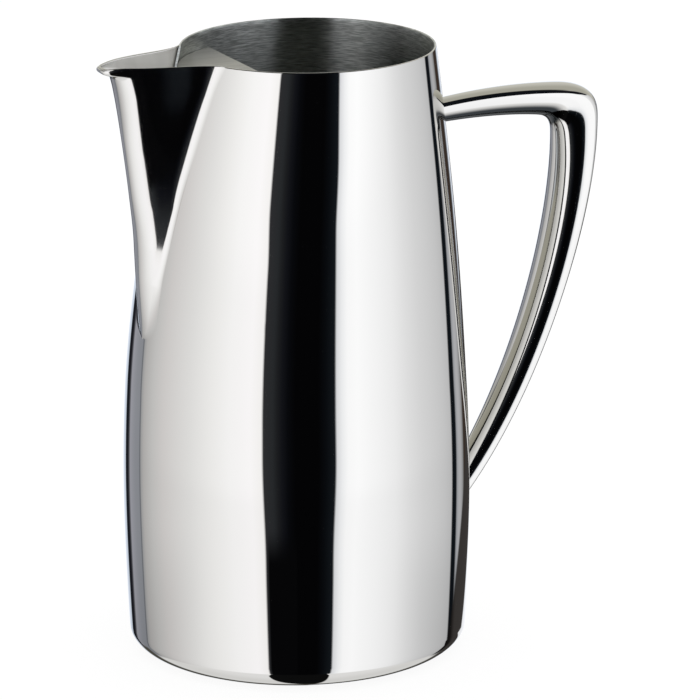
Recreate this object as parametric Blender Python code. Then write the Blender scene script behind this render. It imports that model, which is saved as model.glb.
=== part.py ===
"""Stainless steel water pitcher with a welded spout, an ice guard and a hollow handle.

Blender 4.5, metres, +Z up. The origin is the centre of the underside. The handle points
along +X, the spout along -X, and the XZ plane is the plane of symmetry.
"""
import math

import bpy
import numpy as np

# Body: outer radius against height, from the top of the foot corner to the rim.
HEIGHT = 0.212
BODY_PROFILE = (
    (0.007, 0.0585),
    (0.025, 0.0593),
    (0.062, 0.0600),
    (0.089, 0.0592),
    (0.123, 0.0567),
    (0.166, 0.0515),
    (HEIGHT, 0.0438),
)
WALL = 0.0008
FOOT_RADIUS = 0.0475
FOOT_CORNER = 0.007
BASE_RADIUS = 0.0460
BASE_THICKNESS = 0.0010
# Above LEAN_START (a share of the height) the body's axis leans towards the handle.
MOUTH_LEAN = 0.0053
LEAN_START = 0.45
LEAN_POWER = 1.5

# Spout: distance of its nose from the body's axis against height, lip at the top.
NOSE_PROFILE = (
    (0.110, 0.0558),
    (0.118, 0.0568),
    (0.136, 0.0584),
    (0.165, 0.0604),
    (0.188, 0.0641),
    (0.203, 0.0668),
    (0.2065, 0.0682),
    (0.2088, 0.0704),
    (0.2105, 0.0708),
    (HEIGHT, 0.0698),
)
LIP_START = 0.200
LIP_HEIGHTS = [0.2045, 0.2070, 0.2090, 0.2105, HEIGHT]
SPOUT_FOOT = 0.110
# The spout widens from its tip, just above its foot, to these half widths at the rim.
SPOUT_TIP = 0.116
SPOUT_ROOT_WIDTH = 0.0148
SPOUT_ROOT_POWER = 0.6
SPOUT_NOSE_WIDTH = 0.0075
SPOUT_NOSE_POWER = 1.7
SPOUT_LEAST_WIDTH = 0.0030
NOSE_LEAST_WIDTH = 0.0009
# Share of the way from the body to the nose at which the flat cheek starts to bend.
CHEEK_SHARE = 0.7
SPOUT_SHEET = 0.0009
# The sheet is modelled this much further into the body before it is trimmed.
SPOUT_ROOT_DEPTH = np.array((0.005, 0.0))

# Opening cut in the body's wall behind the spout.
OPENING_FOOT = 0.128
OPENING_INSET = 0.0014
OPENING_FROM = -0.075
OPENING_TO = -0.025

# Ice guard: a flat plate across the mouth with a straight inner edge.
GUARD_TOP = 0.2052
GUARD_THICKNESS = 0.0010
GUARD_EDGE = 0.0154

# Handle: a hollow oval loop in two halves. Its crown line is the outside of the loop and its
# belly line the inside, each made of three curves in the XZ plane, as (x, z) handles.
CROWN_CURVES = (
    ((0.044, 0.1862), (0.066, 0.1905), (0.088, 0.1906), (0.103, 0.1892)),
    ((0.103, 0.1892), (0.1098, 0.1885), (0.1152, 0.1860), (0.1141, 0.1775)),
    ((0.1141, 0.1775), (0.1128, 0.1396), (0.0901, 0.0711), (0.0565, 0.0367)),
)
BELLY_CURVES = (
    ((0.044, 0.1790), (0.062, 0.1808), (0.080, 0.1806), (0.0925, 0.1788)),
    ((0.0925, 0.1788), (0.0962, 0.1782), (0.0986, 0.1762), (0.0985, 0.1712)),
    ((0.0985, 0.1712), (0.0996, 0.1400), (0.0835, 0.0800), (0.0510, 0.0420)),
)
CURVE_STEPS = (8, 7, 16)
HANDLE_WIDTHS = (
    (0.0, 0.0090),
    (0.12, 0.0110),
    (0.25, 0.0145),
    (0.37, 0.0184),
    (0.45, 0.0188),
    (0.6, 0.0172),
    (0.8, 0.0140),
    (1.0, 0.0096),
)
# The two halves meet at this share of the depth, where the section is widest.
SEAM_SHARE = 0.21
HANDLE_WALL = 0.0010
SECTION_STEPS = 10
SECTION_POWER = 2.15

GAP = 0.0003
TURNS = 64
# Rows of points up the body, the spout and the cutters, and points round the guard's arc.
CORNER_ANGLES = (0, 22, 45, 67)
WALL_ROWS = 15
SPOUT_ROWS = 11
OPENING_ROWS = 7
ENVELOPE_ROWS = 24
GUARD_STEPS = 33
NOSE_STEPS = 4
# How far a cutter reaches past the solid that it cuts.
OVERSHOOT = 0.010
SHARP_ANGLE = 35

POLISHED = {"colour": (0.80, 0.80, 0.79, 1.0), "roughness": 0.06}
BRUSHED = {"colour": (0.55, 0.55, 0.54, 1.0), "roughness": 0.28}


def clear_scene():
    for item in list(bpy.data.objects):
        bpy.data.objects.remove(item, do_unlink=True)


def steel(name, look):
    """A metal material with the given colour and roughness."""
    material = bpy.data.materials.new(name)
    material.use_nodes = True
    shader = material.node_tree.nodes["Principled BSDF"]
    shader.inputs["Base Color"].default_value = look["colour"]
    shader.inputs["Roughness"].default_value = look["roughness"]
    shader.inputs["Metallic"].default_value = 1.0
    return material


def smooth_value(knots, place):
    """A smooth curve through the knots, read at one place."""
    at = np.array([knot[0] for knot in knots])
    value = np.array([knot[1] for knot in knots])
    slope = np.gradient(value, at)
    i = int(np.clip(np.searchsorted(at, place) - 1, 0, len(at) - 2))
    step = at[i + 1] - at[i]
    t = (place - at[i]) / step
    return float(
        (1 + 2 * t) * (1 - t) ** 2 * value[i]
        + t * (1 - t) ** 2 * step * slope[i]
        + t * t * (3 - 2 * t) * value[i + 1]
        + t * t * (t - 1) * step * slope[i + 1]
    )


def body_radius(z):
    """Outer radius of the body, with a round corner at the foot."""
    if z >= FOOT_CORNER:
        return smooth_value(BODY_PROFILE, min(z, HEIGHT))
    rise = 1 - max(z, 0.0) / FOOT_CORNER
    return FOOT_RADIUS + (BODY_PROFILE[0][1] - FOOT_RADIUS) * math.sqrt(1 - rise * rise)


def lean(z):
    """How far the body's centre has moved towards the handle at this height."""
    share = (min(z, HEIGHT) / HEIGHT - LEAN_START) / (1 - LEAN_START)
    return MOUTH_LEAN * max(share, 0.0) ** LEAN_POWER


def circle(radius, z, centre=0.0):
    angles = [2 * math.pi * k / TURNS for k in range(TURNS)]
    return [(centre + radius * math.cos(a), radius * math.sin(a), z) for a in angles]


def new_object(name, points, faces, material):
    mesh = bpy.data.meshes.new(name)
    mesh.from_pydata([tuple(point) for point in points], [], faces)
    mesh.validate()
    mesh.shade_smooth()
    mesh.set_sharp_from_angle(angle=math.radians(SHARP_ANGLE))
    item = bpy.data.objects.new(name, mesh)
    bpy.context.scene.collection.objects.link(item)
    if material:
        mesh.materials.append(material)
    return item


def thick_sheet(name, outside, inside, material, wrapped=False):
    """A solid between two grids of points with equal rows and columns."""
    rows, columns = len(outside), len(outside[0])
    points = [p for row in outside for p in row] + [p for row in inside for p in row]
    faces = []

    def index(sheet, row, column):
        return sheet * rows * columns + row * columns + column % columns

    spans = columns if wrapped else columns - 1
    for row in range(rows - 1):
        for column in range(spans):
            quad = [(row, column), (row, column + 1), (row + 1, column + 1), (row + 1, column)]
            faces.append([index(0, *corner) for corner in quad])
            faces.append([index(1, *corner) for corner in reversed(quad)])
    for column in range(spans):
        for row, order in ((0, 1), (rows - 1, -1)):
            edge = [(1, row, column), (1, row, column + 1), (0, row, column + 1), (0, row, column)]
            faces.append([index(*corner) for corner in edge[::order]])
    if not wrapped:
        for row in range(rows - 1):
            for column, order in ((0, 1), (columns - 1, -1)):
                edge = [(0, row, column), (0, row + 1, column), (1, row + 1, column), (1, row, column)]
                faces.append([index(*corner) for corner in edge[::order]])
    return new_object(name, points, faces, material)


def stack(name, rings, material):
    """A solid lofted through closed rings, with flat ends."""
    count = len(rings[0])
    points = [p for ring in rings for p in ring]
    faces = [list(reversed(range(count)))]
    for level in range(len(rings) - 1):
        low, high = level * count, (level + 1) * count
        for k in range(count):
            after = (k + 1) % count
            faces.append([low + k, low + after, high + after, high + k])
    faces.append(list(range((len(rings) - 1) * count, len(rings) * count)))
    return new_object(name, points, faces, material)


def cutter(item):
    """Marks an object as a helper that only cuts others."""
    item.hide_render = True
    item.display_type = "WIRE"
    return item


def cut(item, tool):
    modifier = item.modifiers.new("cut by " + tool.name, "BOOLEAN")
    modifier.operation = "DIFFERENCE"
    modifier.object = tool


def body_heights():
    corner = [FOOT_CORNER * (1 - math.cos(math.radians(a))) for a in CORNER_ANGLES]
    wall = list(np.linspace(FOOT_CORNER, HEIGHT, WALL_ROWS))
    return corner + wall


def make_body(material):
    outside = [circle(BASE_RADIUS + GAP, 0.0)]
    inside = [circle(BASE_RADIUS + GAP, WALL)]
    for z in body_heights():
        radius, centre = body_radius(z), lean(z)
        outside.append(circle(radius, z, centre))
        inner_z = max(z, WALL + z * (1 - WALL / FOOT_CORNER)) if z < FOOT_CORNER else z
        inside.append(circle(radius - WALL * min(z / FOOT_CORNER, 1.0), inner_z, centre))
    return thick_sheet("body_shell", outside, inside, material, wrapped=True)


def make_base(material):
    rings = [circle(BASE_RADIUS, 0.0), circle(BASE_RADIUS, BASE_THICKNESS)]
    return stack("base_plate", rings, material)


def body_envelope():
    """The body's outer shape with the weld gap around it, solid, past the rim."""
    wall = list(np.linspace(FOOT_CORNER, HEIGHT, ENVELOPE_ROWS))
    heights = [-OVERSHOOT] + wall + [HEIGHT + OVERSHOOT]
    rings = [circle(body_radius(z) + GAP, z, lean(z)) for z in heights]
    return cutter(stack("body_envelope", rings, None))


def spout_share(z):
    """0 at the spout's pointed lower tip, 1 at the rim."""
    return max(z - SPOUT_TIP, 0.0) / (HEIGHT - SPOUT_TIP)


def spout_root(z):
    """Half width of the spout where it meets the body."""
    return max(SPOUT_ROOT_WIDTH * spout_share(z) ** SPOUT_ROOT_POWER, SPOUT_LEAST_WIDTH)


def spout_half(z):
    """Half of the spout's outline at one height, from inside the body to the nose."""
    root = spout_root(z)
    nose_width = max(SPOUT_NOSE_WIDTH * spout_share(z) ** SPOUT_NOSE_POWER, NOSE_LEAST_WIDTH)
    nose = smooth_value(NOSE_PROFILE, z)
    wall = math.sqrt(body_radius(z) ** 2 - root**2) - lean(z)
    start, corner = np.array((wall, root)), np.array((nose, nose_width))
    bend = start + CHEEK_SHARE * (corner - start)
    tip = np.array((nose, 0.0))
    outline = [start - SPOUT_ROOT_DEPTH, start, (start + bend) / 2, bend]
    for t in (k / NOSE_STEPS for k in range(1, NOSE_STEPS)):
        outline.append((1 - t) ** 2 * bend + 2 * t * (1 - t) * corner + t * t * tip)
    return outline + [tip]


def inward(outline, distance):
    """The outline moved towards its own left by a distance."""
    points = np.array(outline)
    along = np.gradient(points, axis=0)
    along /= np.linalg.norm(along, axis=1)[:, None]
    return points + distance * np.stack([along[:, 1], -along[:, 0]], axis=1)


def spout_row(z, depth):
    half = spout_half(z)
    whole = half + [np.array((p[0], -p[1])) for p in reversed(half[:-1])]
    return [(-p[0], p[1], z) for p in inward(whole, depth)]


def make_spout(material, envelope):
    heights = list(np.linspace(SPOUT_FOOT, LIP_START, SPOUT_ROWS)) + LIP_HEIGHTS
    outside = [spout_row(z, 0.0) for z in heights]
    inside = [spout_row(z, SPOUT_SHEET) for z in heights]
    spout = thick_sheet("spout", outside, inside, material)
    cut(spout, envelope)
    return spout


def pour_opening_tool():
    """The tapered opening behind the spout, as a solid through the wall."""
    corners = ((OPENING_FROM, -1), (OPENING_TO, -1), (OPENING_TO, 1), (OPENING_FROM, 1))
    rings = []
    for z in list(np.linspace(OPENING_FOOT, HEIGHT, OPENING_ROWS)) + [HEIGHT + OVERSHOOT]:
        half = spout_root(min(z, HEIGHT)) - OPENING_INSET
        rings.append([(x, side * half, z) for x, side in corners])
    return cutter(stack("pour_opening_tool", rings, None))


def make_guard(material):
    """A segment of a disc that follows the wall and ends in a straight edge."""
    radius = body_radius(GUARD_TOP) - WALL - GAP
    centre = lean(GUARD_TOP)
    half_angle = math.acos((GUARD_EDGE + centre) / radius)
    angles = np.linspace(math.pi - half_angle, math.pi + half_angle, GUARD_STEPS)
    rings = []
    for z in (GUARD_TOP - GUARD_THICKNESS, GUARD_TOP):
        rings.append([(centre + radius * math.cos(a), radius * math.sin(a), z) for a in angles])
    return stack("ice_guard", rings, material)


def bezier(handles, steps):
    a, b, c, d = (np.array(handle) for handle in handles)
    shares = [k / steps for k in range(steps)]
    return [(1 - t) ** 3 * a + 3 * t * (1 - t) ** 2 * b + 3 * t * t * (1 - t) * c + t**3 * d for t in shares]


def loop_line(curves):
    """Points along one side of the handle, from its upper end to its lower end."""
    points = [p for handles, steps in zip(curves, CURVE_STEPS) for p in bezier(handles, steps)]
    return np.array(points + [np.array(curves[-1][-1])])


def half_section(crown, belly, width, outer_half, inset):
    """Points across one half of the oval section, from edge to edge."""
    depth = np.linalg.norm(belly - crown)
    into = (belly - crown) / depth
    if outer_half:
        edge, far = SEAM_SHARE * depth - GAP / 2, inset
    else:
        edge, far = SEAM_SHARE * depth + GAP / 2, depth - inset
    row = []
    for k in range(SECTION_STEPS + 1):
        angle = math.pi * k / SECTION_STEPS
        side = math.copysign(abs(math.cos(angle)) ** (2 / SECTION_POWER), math.cos(angle))
        place = crown + into * (edge + (far - edge) * math.sin(angle) ** (2 / SECTION_POWER))
        row.append((place[0], (width / 2 - inset) * side, place[1]))
    return row


def make_handle_half(name, outer_half, material, envelope):
    crown, belly = loop_line(CROWN_CURVES), loop_line(BELLY_CURVES)
    lengths = np.linalg.norm(np.diff(crown, axis=0), axis=1)
    shares = np.concatenate([[0], np.cumsum(lengths)]) / lengths.sum()
    outside, inside = [], []
    for top, bottom, share in zip(crown, belly, shares):
        width = smooth_value(HANDLE_WIDTHS, share)
        outside.append(half_section(top, bottom, width, outer_half, 0.0))
        inside.append(half_section(top, bottom, width, outer_half, HANDLE_WALL))
    half = thick_sheet(name, outside, inside, material)
    cut(half, envelope)


def main():
    clear_scene()
    polished = steel("polished_steel", POLISHED)
    brushed = steel("brushed_steel", BRUSHED)
    envelope = body_envelope()
    body = make_body(polished)
    cut(body, pour_opening_tool())
    make_base(polished.copy())
    make_spout(polished.copy(), envelope)
    make_guard(brushed)
    make_handle_half("handle_outer_shell", True, polished.copy(), envelope)
    make_handle_half("handle_inner_shell", False, polished.copy(), envelope)


main()
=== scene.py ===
"""The steel water pitcher as it looks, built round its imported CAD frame.

Metres, +Z up, in the CAD's frame: handle along +X, spout along -X, and the XZ plane is the
plane of symmetry. Each visible piece is a dense mesh that replaces the CAD node it is named for.
"""

import math
from collections import namedtuple
from functools import reduce

import bmesh
import bpy
import numpy as np
from mathutils import Matrix, Vector


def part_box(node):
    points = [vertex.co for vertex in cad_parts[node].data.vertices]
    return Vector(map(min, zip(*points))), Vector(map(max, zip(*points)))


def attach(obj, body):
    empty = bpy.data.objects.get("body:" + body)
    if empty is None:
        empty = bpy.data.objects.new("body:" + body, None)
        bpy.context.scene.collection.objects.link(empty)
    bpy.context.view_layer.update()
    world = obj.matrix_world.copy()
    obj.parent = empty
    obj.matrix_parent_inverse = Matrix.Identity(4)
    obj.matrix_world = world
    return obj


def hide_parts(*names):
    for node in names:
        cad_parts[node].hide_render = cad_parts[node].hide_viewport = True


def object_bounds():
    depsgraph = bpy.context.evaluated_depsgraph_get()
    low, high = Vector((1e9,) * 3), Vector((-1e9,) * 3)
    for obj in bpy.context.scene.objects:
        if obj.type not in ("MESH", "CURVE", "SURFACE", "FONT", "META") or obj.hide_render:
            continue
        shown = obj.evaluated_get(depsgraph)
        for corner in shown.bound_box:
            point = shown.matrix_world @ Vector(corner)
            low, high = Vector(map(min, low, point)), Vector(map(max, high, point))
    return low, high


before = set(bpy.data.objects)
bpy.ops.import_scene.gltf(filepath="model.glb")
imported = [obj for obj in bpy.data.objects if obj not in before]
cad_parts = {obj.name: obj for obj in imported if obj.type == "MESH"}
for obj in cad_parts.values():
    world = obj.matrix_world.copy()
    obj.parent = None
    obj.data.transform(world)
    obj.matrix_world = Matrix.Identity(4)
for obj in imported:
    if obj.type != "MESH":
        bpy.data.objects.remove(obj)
cad_low, cad_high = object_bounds()
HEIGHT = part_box("body_shell")[1].z

# Body, as in the CAD: outer radius against height, and the lean of the mouth to the handle.
BODY_PROFILE = (
    (0.000, 0.0581),
    (0.007, 0.0585),
    (0.025, 0.0593),
    (0.062, 0.0600),
    (0.089, 0.0592),
    (0.123, 0.0567),
    (0.166, 0.0515),
    (HEIGHT, 0.0438),
)
WALL = 0.0008
FOOT_RADIUS = 0.0475
FOOT_CORNER = 0.007
MOUTH_LEAN = 0.0053
LEAN_START = 0.45
LEAN_POWER = 1.5

# The body's mesh: its columns and rows, the columns beside the opening that the spout hides, and
# the share of the turn over which the columns make room for the opening.
BODY_COLUMNS = 288
WALL_ROWS = 132
CORNER_ROWS = 14
RIM_ROWS = 8
HIDDEN_COLUMNS = 3
OPENING_REACH = 0.2

# Base disc, and the gap that neighbouring pieces keep.
BASE_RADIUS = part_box("base_plate")[1].x
BASE_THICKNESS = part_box("base_plate")[1].z
BASE_ROUNDING = 0.0003
BASE_MIDWAY = 0.3 * BASE_ROUNDING
BASE_RINGS = 16
GAP = 0.0003

# Opening behind the spout: half width against height.
OPENING_EDGE = (
    (0.1280, 0.0),
    (0.1310, 0.0036),
    (0.1370, 0.0058),
    (0.1500, 0.0072),
    (0.1700, 0.0092),
    (0.1900, 0.0124),
    (0.2030, 0.0147),
    (HEIGHT, 0.0166),
)

# Spout, by height: half width of its root on the body, of its shoulders and of its nose, and the
# distance of the nose from the axis.
ROOT_EDGE = (
    (0.1155, 0.0),
    (0.1162, 0.0036),
    (0.1185, 0.0070),
    (0.1240, 0.0092),
    (0.1360, 0.0094),
    (0.1490, 0.0109),
    (0.1660, 0.0126),
    (0.1830, 0.0154),
    (0.1980, 0.0173),
    (0.2035, 0.0180),
    (HEIGHT, 0.0200),
)
SHOULDER_EDGE = (
    (0.1155, 0.0),
    (0.1180, 0.0034),
    (0.1240, 0.00598),
    (0.1360, 0.00872),
    (0.1490, 0.01071),
    (0.1660, 0.01139),
    (0.1830, 0.01330),
    (0.1980, 0.01433),
    (0.2035, 0.01495),
    (HEIGHT, 0.01588),
)
NOSE_EDGE = (
    (0.1155, 0.0),
    (0.1240, 0.00241),
    (0.1360, 0.00371),
    (0.1490, 0.00489),
    (0.1660, 0.00453),
    (0.1830, 0.00521),
    (0.1980, 0.00748),
    (0.2035, 0.00808),
    (HEIGHT, 0.00815),
)
NOSE_PROFILE = (
    (0.1155, 0.0571),
    (0.1360, 0.05837),
    (0.1490, 0.05879),
    (0.1660, 0.06059),
    (0.1830, 0.06270),
    (0.2030, 0.06555),
    (HEIGHT, 0.0680),
)
SPOUT_START = 0.1157
SPOUT_SHEET = 0.0009

# The root is at least this half width, and goes this deep into the body's wall.
LEAST_ROOT = 0.0002
ROOT_DEPTH = 0.0003

# The outline's corners: the most that a shoulder and a nose may take of the width behind them,
# and how far their bends run, as shares of the lengths on either side.
SHOULDER_SHARE = 0.92
NOSE_SHARE = 0.75
SHOULDER_RUN = 2.06
CHEEK_SHARE = 0.45
RUN_SHARE = 0.39
NOSE_ROUNDING = 0.45

# The spout's mesh. Its rows are closer together at the tip, and the sheet thins out at the root.
SPOUT_ROWS = 156
LIP_ROWS = 40
BEND_STEPS = 14
CHEEK_STEPS = 14
NOSE_STEPS = 22
ROW_POWER = 1.15
THINNING_POWER = 0.7

# Pouring lip: how far the nose curls out against height, where it fades out to each side, and
# how far it dips below the rim.
LIP_CURL = (
    (0.2078, 0.0),
    (0.2084, 0.0003),
    (0.2088, 0.0013),
    (0.2092, 0.0026),
    (0.2097, 0.0034),
    (0.2104, 0.0037),
    (0.2112, 0.0034),
    (HEIGHT, 0.0027),
)
LIP_START = 0.2078
LIP_FULL = 0.0030
LIP_END = 0.0080
LIP_DIP = 0.0006

# Ice guard. Its straight edge reaches a little further across the mouth than the CAD's.
GUARD_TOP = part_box("ice_guard")[1].z
GUARD_THICKNESS = 0.0010
GUARD_FURTHER = 0.0013
GUARD_EDGE = -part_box("ice_guard")[1].x - GUARD_FURTHER
GUARD_STEPS = 96
GUARD_ROUNDING = 0.00025
GUARD_ROUNDING_STEPS = 4

# Handle: the outside (crown) and inside (belly) lines of the loop, in the XZ plane.
CROWN_CURVES = (
    ((0.044, 0.1862), (0.066, 0.1905), (0.088, 0.1906), (0.103, 0.1892)),
    ((0.103, 0.1892), (0.1098, 0.1885), (0.1152, 0.1860), (0.1141, 0.1775)),
    ((0.1141, 0.1775), (0.1128, 0.1396), (0.0901, 0.0711), (0.0565, 0.0367)),
)
BELLY_CURVES = (
    ((0.044, 0.1790), (0.062, 0.1808), (0.080, 0.1806), (0.0925, 0.1788)),
    ((0.0925, 0.1788), (0.0962, 0.1782), (0.0986, 0.1762), (0.0985, 0.1712)),
    ((0.0985, 0.1712), (0.0996, 0.1400), (0.0835, 0.0800), (0.0510, 0.0420)),
)
CURVE_STEPS = (120, 60, 300)
CURVE_SMOOTHING = 60

# Width of the handle against the share of its length, from its upper end.
HANDLE_WIDTHS = (
    (0.0, 0.0090),
    (0.12, 0.0110),
    (0.25, 0.0145),
    (0.37, 0.0184),
    (0.45, 0.0188),
    (0.6, 0.0172),
    (0.8, 0.0140),
    (1.0, 0.0096),
)

# The handle's section: how far in the seam lies, how square the ovals are and how sharp the crease.
SEAM_SHARE = 0.21
SECTION_POWER = 2.15
CREASE = math.radians(9)
SECTION_STEPS = 28
HANDLE_WALL = 0.0010
HANDLE_ROWS = 240

# The fillet where the handle meets the body: its size, how much of a quarter round it makes and
# how its rows are spaced. The handle's ends go this deep into the body.
WELD_RADIUS = 0.0005
WELD_REACH = 0.98
WELD_ROWS_REACH = 1.5 * WELD_RADIUS
WELD_STEPS = 6
WELD_ROW_POWER = 1.5
END_DEPTH = 0.0002

# Camera: the photograph's view, as an aim point and where the camera stands from it.
AIM_FROM_CENTRE = Vector((-0.0046, -0.0077, -0.0013))
CAMERA_AZIMUTH = -24.590
CAMERA_ELEVATION = 15.674
CAMERA_DISTANCE = 1.8964
CAMERA_ROLL = 0.2544
CAMERA_LENS = 282.857
SENSOR_WIDTH = 36
CLIP_START, CLIP_END = 0.01, 50

# Floor: its size, and how far it lies below the object so that the two don't share a plane.
FLOOR_RADIUS = 8.0
FLOOR_SIDES = 96
FLOOR_DROP = 0.0002

# Mesh clean-up: points closer than this are one, and edges sharper than this stay sharp.
SAME_PLACE = 1e-7
PLACE_DIGITS = 7
SHARP_ANGLE = math.radians(40)
PLATE_SHARP_ANGLE = math.radians(50)

# The least length that anything is divided by.
TINY = 1e-12


def spline(knots, places):
    """A natural cubic spline through the knots, read at the places."""
    at = np.array([knot[0] for knot in knots], float)
    value = np.array([knot[1] for knot in knots], float)
    step = np.diff(at)
    count = len(at)
    left = np.eye(count)
    right = np.zeros(count)
    for i in range(1, count - 1):
        left[i, i - 1 : i + 2] = step[i - 1], 2 * (step[i - 1] + step[i]), step[i]
        rise, rise_before = value[i + 1] - value[i], value[i] - value[i - 1]
        right[i] = 3 * (rise / step[i] - rise_before / step[i - 1])
    bend = np.linalg.solve(left, right)
    places = np.asarray(places, float)
    i = np.clip(np.searchsorted(at, places) - 1, 0, count - 2)
    slope = (value[i + 1] - value[i]) / step[i] - step[i] * (2 * bend[i] + bend[i + 1]) / 3
    t = places - at[i]
    twist = (bend[i + 1] - bend[i]) / (3 * step[i])
    return value[i] + slope * t + bend[i] * t**2 + twist * t**3


def soft_curve(knots, places):
    """A curve through the knots that never swings past them: cubic pieces, limited slopes."""
    at = np.array([knot[0] for knot in knots], float)
    value = np.array([knot[1] for knot in knots], float)
    step = np.diff(at)
    rate = np.diff(value) / step
    slope = np.concatenate([[rate[0]], np.zeros(len(at) - 2), [rate[-1]]])
    for i in range(1, len(at) - 1):
        if rate[i - 1] * rate[i] > 0:
            before, after = step[i - 1] + 2 * step[i], 2 * step[i - 1] + step[i]
            slope[i] = (before + after) / (before / rate[i - 1] + after / rate[i])
    places = np.asarray(places, float)
    i = np.clip(np.searchsorted(at, places) - 1, 0, len(at) - 2)
    t = (places - at[i]) / step[i]
    return (
        (1 + 2 * t) * (1 - t) ** 2 * value[i]
        + t * (1 - t) ** 2 * step[i] * slope[i]
        + t * t * (3 - 2 * t) * value[i + 1]
        + t * t * (t - 1) * step[i] * slope[i + 1]
    )


def body_radius(z):
    """Outer radius of the body, with a round corner at the foot."""
    z = np.asarray(z, float)
    wall = spline(BODY_PROFILE, np.clip(z, 0, HEIGHT))
    below = np.clip(1 - z / FOOT_CORNER, 0, 1)
    return FOOT_RADIUS + (wall - FOOT_RADIUS) * np.sqrt(1 - below**2)


def lean(z):
    """How far the body's centre has moved towards the handle at this height."""
    share = (np.clip(z, 0, HEIGHT) / HEIGHT - LEAN_START) / (1 - LEAN_START)
    return MOUTH_LEAN * np.maximum(share, 0.0) ** LEAN_POWER


def link(name, data):
    """A new object in the scene."""
    made = bpy.data.objects.new(name, data)
    bpy.context.scene.collection.objects.link(made)
    return made


def new_piece(name, points, faces, materials, slots=None):
    """A cleaned, smooth mesh object, whose slots give each face its material."""
    mesh = bpy.data.meshes.new(name)
    mesh.from_pydata(np.asarray(points, float).tolist(), [], faces)
    for material in materials:
        mesh.materials.append(material)
    if slots is not None:
        mesh.polygons.foreach_set("material_index", slots)
    clean = bmesh.new()
    clean.from_mesh(mesh)
    bmesh.ops.remove_doubles(clean, verts=clean.verts, dist=SAME_PLACE)
    bmesh.ops.dissolve_degenerate(clean, edges=clean.edges, dist=SAME_PLACE)
    bmesh.ops.recalc_face_normals(clean, faces=clean.faces)
    clean.to_mesh(mesh)
    clean.free()
    mesh.shade_smooth()
    mesh.set_sharp_from_angle(angle=SHARP_ANGLE)
    return link(name, mesh)


def grid_faces(rows, columns, wrap_rows=False, wrap_columns=False, start=0):
    """Quads between the points of a grid."""
    faces = []
    for row in range(rows if wrap_rows else rows - 1):
        low = start + row * columns
        high = start + (row + 1) % rows * columns
        for column in range(columns if wrap_columns else columns - 1):
            after = (column + 1) % columns
            faces.append([low + column, low + after, high + after, high + column])
    return faces


def side_faces(rows, columns, first=0):
    """Quads that close the two sides of a folded sheet, whose later rows run back down."""
    faces = []
    for row in range(first, rows // 2 - 1):
        low, high = row * columns, (row + 1) * columns
        back_low, back_high = (rows - 1 - row) * columns, (rows - 2 - row) * columns
        for side in (0, columns - 1):
            faces.append([low + side, high + side, back_high + side, back_low + side])
    return faces


def as_the_cad(piece, slot, *nodes):
    """The piece rides on the CAD's body and is seen instead of these nodes."""
    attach(piece, "root")
    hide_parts(*nodes)


# ---------------------------------------------------------------- body


def body_path():
    """Heights and radii from the underside, up the outside, over the rim and down the inside."""
    turn = np.linspace(0, math.pi / 2, CORNER_ROWS)
    corner = FOOT_CORNER * (1 - np.cos(turn))
    top = HEIGHT - WALL / 2
    wall = np.linspace(FOOT_CORNER, top, WALL_ROWS)[1:]
    out_z = np.concatenate([corner, wall])
    out_r = body_radius(out_z)
    roll = np.linspace(0, math.pi, RIM_ROWS + 2)[1:-1]
    rim_z = top + WALL / 2 * np.sin(roll)
    rim_r = body_radius(top) - WALL / 2 + WALL / 2 * np.cos(roll)
    in_z = np.maximum(out_z, WALL + out_z * (1 - WALL / FOOT_CORNER))[::-1]
    in_r = (out_r - WALL * np.clip(out_z / FOOT_CORNER, 0, 1))[::-1]
    edge = [BASE_RADIUS + GAP]
    z = np.concatenate([[0.0], out_z, rim_z, in_z, [WALL]])
    r = np.concatenate([edge, out_r, rim_r, in_r, edge])
    return z, r


def make_body(polished, brushed):
    """The turned wall, polished outside and brushed inside, open behind the spout."""
    z, r = body_path()
    opened = z > OPENING_EDGE[0][0]
    half = np.where(opened, soft_curve(OPENING_EDGE, np.minimum(z, HEIGHT)), 0.0)
    start = np.arcsin(half / r)
    share = np.linspace(0, 1, BODY_COLUMNS + 1)
    pull = np.clip(1 - share / OPENING_REACH, 0, 1)
    turn = 2 * math.pi * share[None, :] + start[:, None] * (pull - pull[::-1])[None, :]
    x = lean(z)[:, None] - r[:, None] * np.cos(turn)
    y = r[:, None] * np.sin(turn)
    points = np.stack([x, y, np.broadcast_to(z[:, None], x.shape)], axis=-1)
    rows, columns = points.shape[:2]
    faces = grid_faces(rows, columns, wrap_rows=True)
    slots = []
    for face in faces:
        row, column = divmod(face[0], columns)
        hidden = opened[row] and not HIDDEN_COLUMNS <= column < BODY_COLUMNS - HIDDEN_COLUMNS
        slots.append(int(row >= rows // 2 or hidden))
    first_cut_row = int(np.argmax(opened)) - 1
    sides = side_faces(rows, columns, first=first_cut_row)
    faces += sides
    slots += [1] * len(sides)
    piece = new_piece("body_shell_polished", points.reshape(-1, 3), faces, [polished, brushed], slots)
    as_the_cad(piece, "polished_steel", "body_shell")


# ---------------------------------------------------------------- base


def make_base(brushed):
    """The welded base disc, with a soft edge above and below."""
    flat = np.linspace(0.05, 0.95, BASE_RINGS) * BASE_RADIUS
    corner = (
        (BASE_RADIUS - BASE_ROUNDING, 0.0),
        (BASE_RADIUS - BASE_MIDWAY, BASE_MIDWAY),
        (BASE_RADIUS, BASE_ROUNDING),
    )
    lower = [(0.0, 0.0), *((r, 0.0) for r in flat), *corner]
    upper = [(r, BASE_THICKNESS - z) for r, z in reversed(lower)]
    profile = lower + upper
    turn = np.linspace(0, 2 * math.pi, BODY_COLUMNS, endpoint=False)
    points = [(r * math.cos(a), r * math.sin(a), z) for r, z in profile for a in turn]
    faces = grid_faces(len(profile), BODY_COLUMNS, wrap_columns=True)
    piece = new_piece("base_plate_spun", points, faces, [brushed])
    as_the_cad(piece, "polished_steel", "base_plate")


# ---------------------------------------------------------------- spout


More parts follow.
